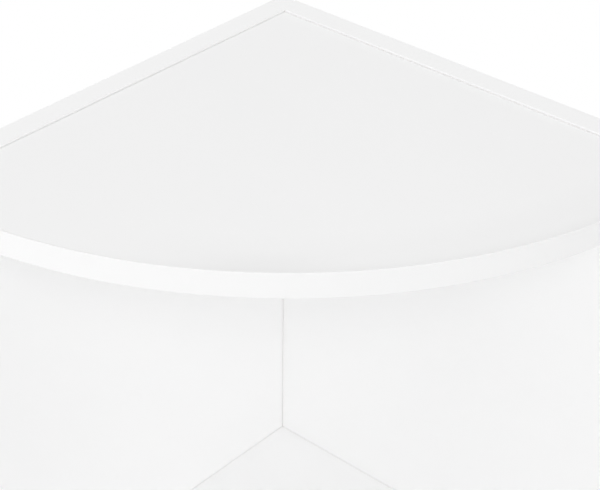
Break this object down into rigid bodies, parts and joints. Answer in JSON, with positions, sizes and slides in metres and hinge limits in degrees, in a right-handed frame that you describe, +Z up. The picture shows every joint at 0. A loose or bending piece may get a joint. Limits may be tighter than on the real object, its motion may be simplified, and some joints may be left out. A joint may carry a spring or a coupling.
{
  "type": "corner shelf unit",
  "caption": "Corner shelf unit with two upright side panels that meet in the corner and quarter-round shelves between them.",
  "frame": {"origin": "on the floor, in the middle of the 305 mm square footprint", "axes": "+Z up; the right panel lies along +Y and the left panel along -X, so the round shelf fronts face +X -Y"},
  "size_m": [0.305, 0.305, 1],
  "materials": {
    "faced_chipboard": "satin white melamine facing on chipboard",
    "edge_band": "satin white plastic edge band",
    "zinc_plated_steel": "bright zinc plating",
    "beech": "plain beech, grooved"
  },
  "bodies": {
    "root": {"left_panel": "faced_chipboard", "right_panel": "faced_chipboard", "left_panel_front_band": "edge_band", "right_panel_front_band": "edge_band", "right_panel_back_band": "edge_band", "left_panel_top_band": "edge_band", "right_panel_top_band": "edge_band", "bottom_shelf": "faced_chipboard", "bottom_shelf_front_band": "edge_band", "lower_shelf": "faced_chipboard", "lower_shelf_front_band": "edge_band", "upper_shelf": "faced_chipboard", "upper_shelf_front_band": "edge_band", "top_shelf": "faced_chipboard", "top_shelf_front_band": "edge_band", "bottom_shelf_left_rear_screw": "zinc_plated_steel", "bottom_shelf_left_dowel": "beech", "bottom_shelf_left_front_screw": "zinc_plated_steel", "bottom_shelf_right_rear_screw": "zinc_plated_steel", "bottom_shelf_right_dowel": "beech", "bottom_shelf_right_front_screw": "zinc_plated_steel", "lower_shelf_left_rear_screw": "zinc_plated_steel", "lower_shelf_left_dowel": "beech", "lower_shelf_left_front_screw": "zinc_plated_steel", "lower_shelf_right_rear_screw": "zinc_plated_steel", "lower_shelf_right_dowel": "beech", "lower_shelf_right_front_screw": "zinc_plated_steel", "upper_shelf_left_rear_screw": "zinc_plated_steel", "upper_shelf_left_dowel": "beech", "upper_shelf_left_front_screw": "zinc_plated_steel", "upper_shelf_right_rear_screw": "zinc_plated_steel", "upper_shelf_right_dowel": "beech", "upper_shelf_right_front_screw": "zinc_plated_steel", "top_shelf_left_rear_screw": "zinc_plated_steel", "top_shelf_left_dowel": "beech", "top_shelf_left_front_screw": "zinc_plated_steel", "top_shelf_right_rear_screw": "zinc_plated_steel", "top_shelf_right_dowel": "beech", "top_shelf_right_front_screw": "zinc_plated_steel", "corner_screw_under_lower": "zinc_plated_steel", "corner_dowel_under_lower": "beech", "corner_screw_under_upper": "zinc_plated_steel", "corner_dowel_under_upper": "beech", "corner_screw_under_top": "zinc_plated_steel", "corner_dowel_under_top": "beech"}
  },
  "joints": []
}
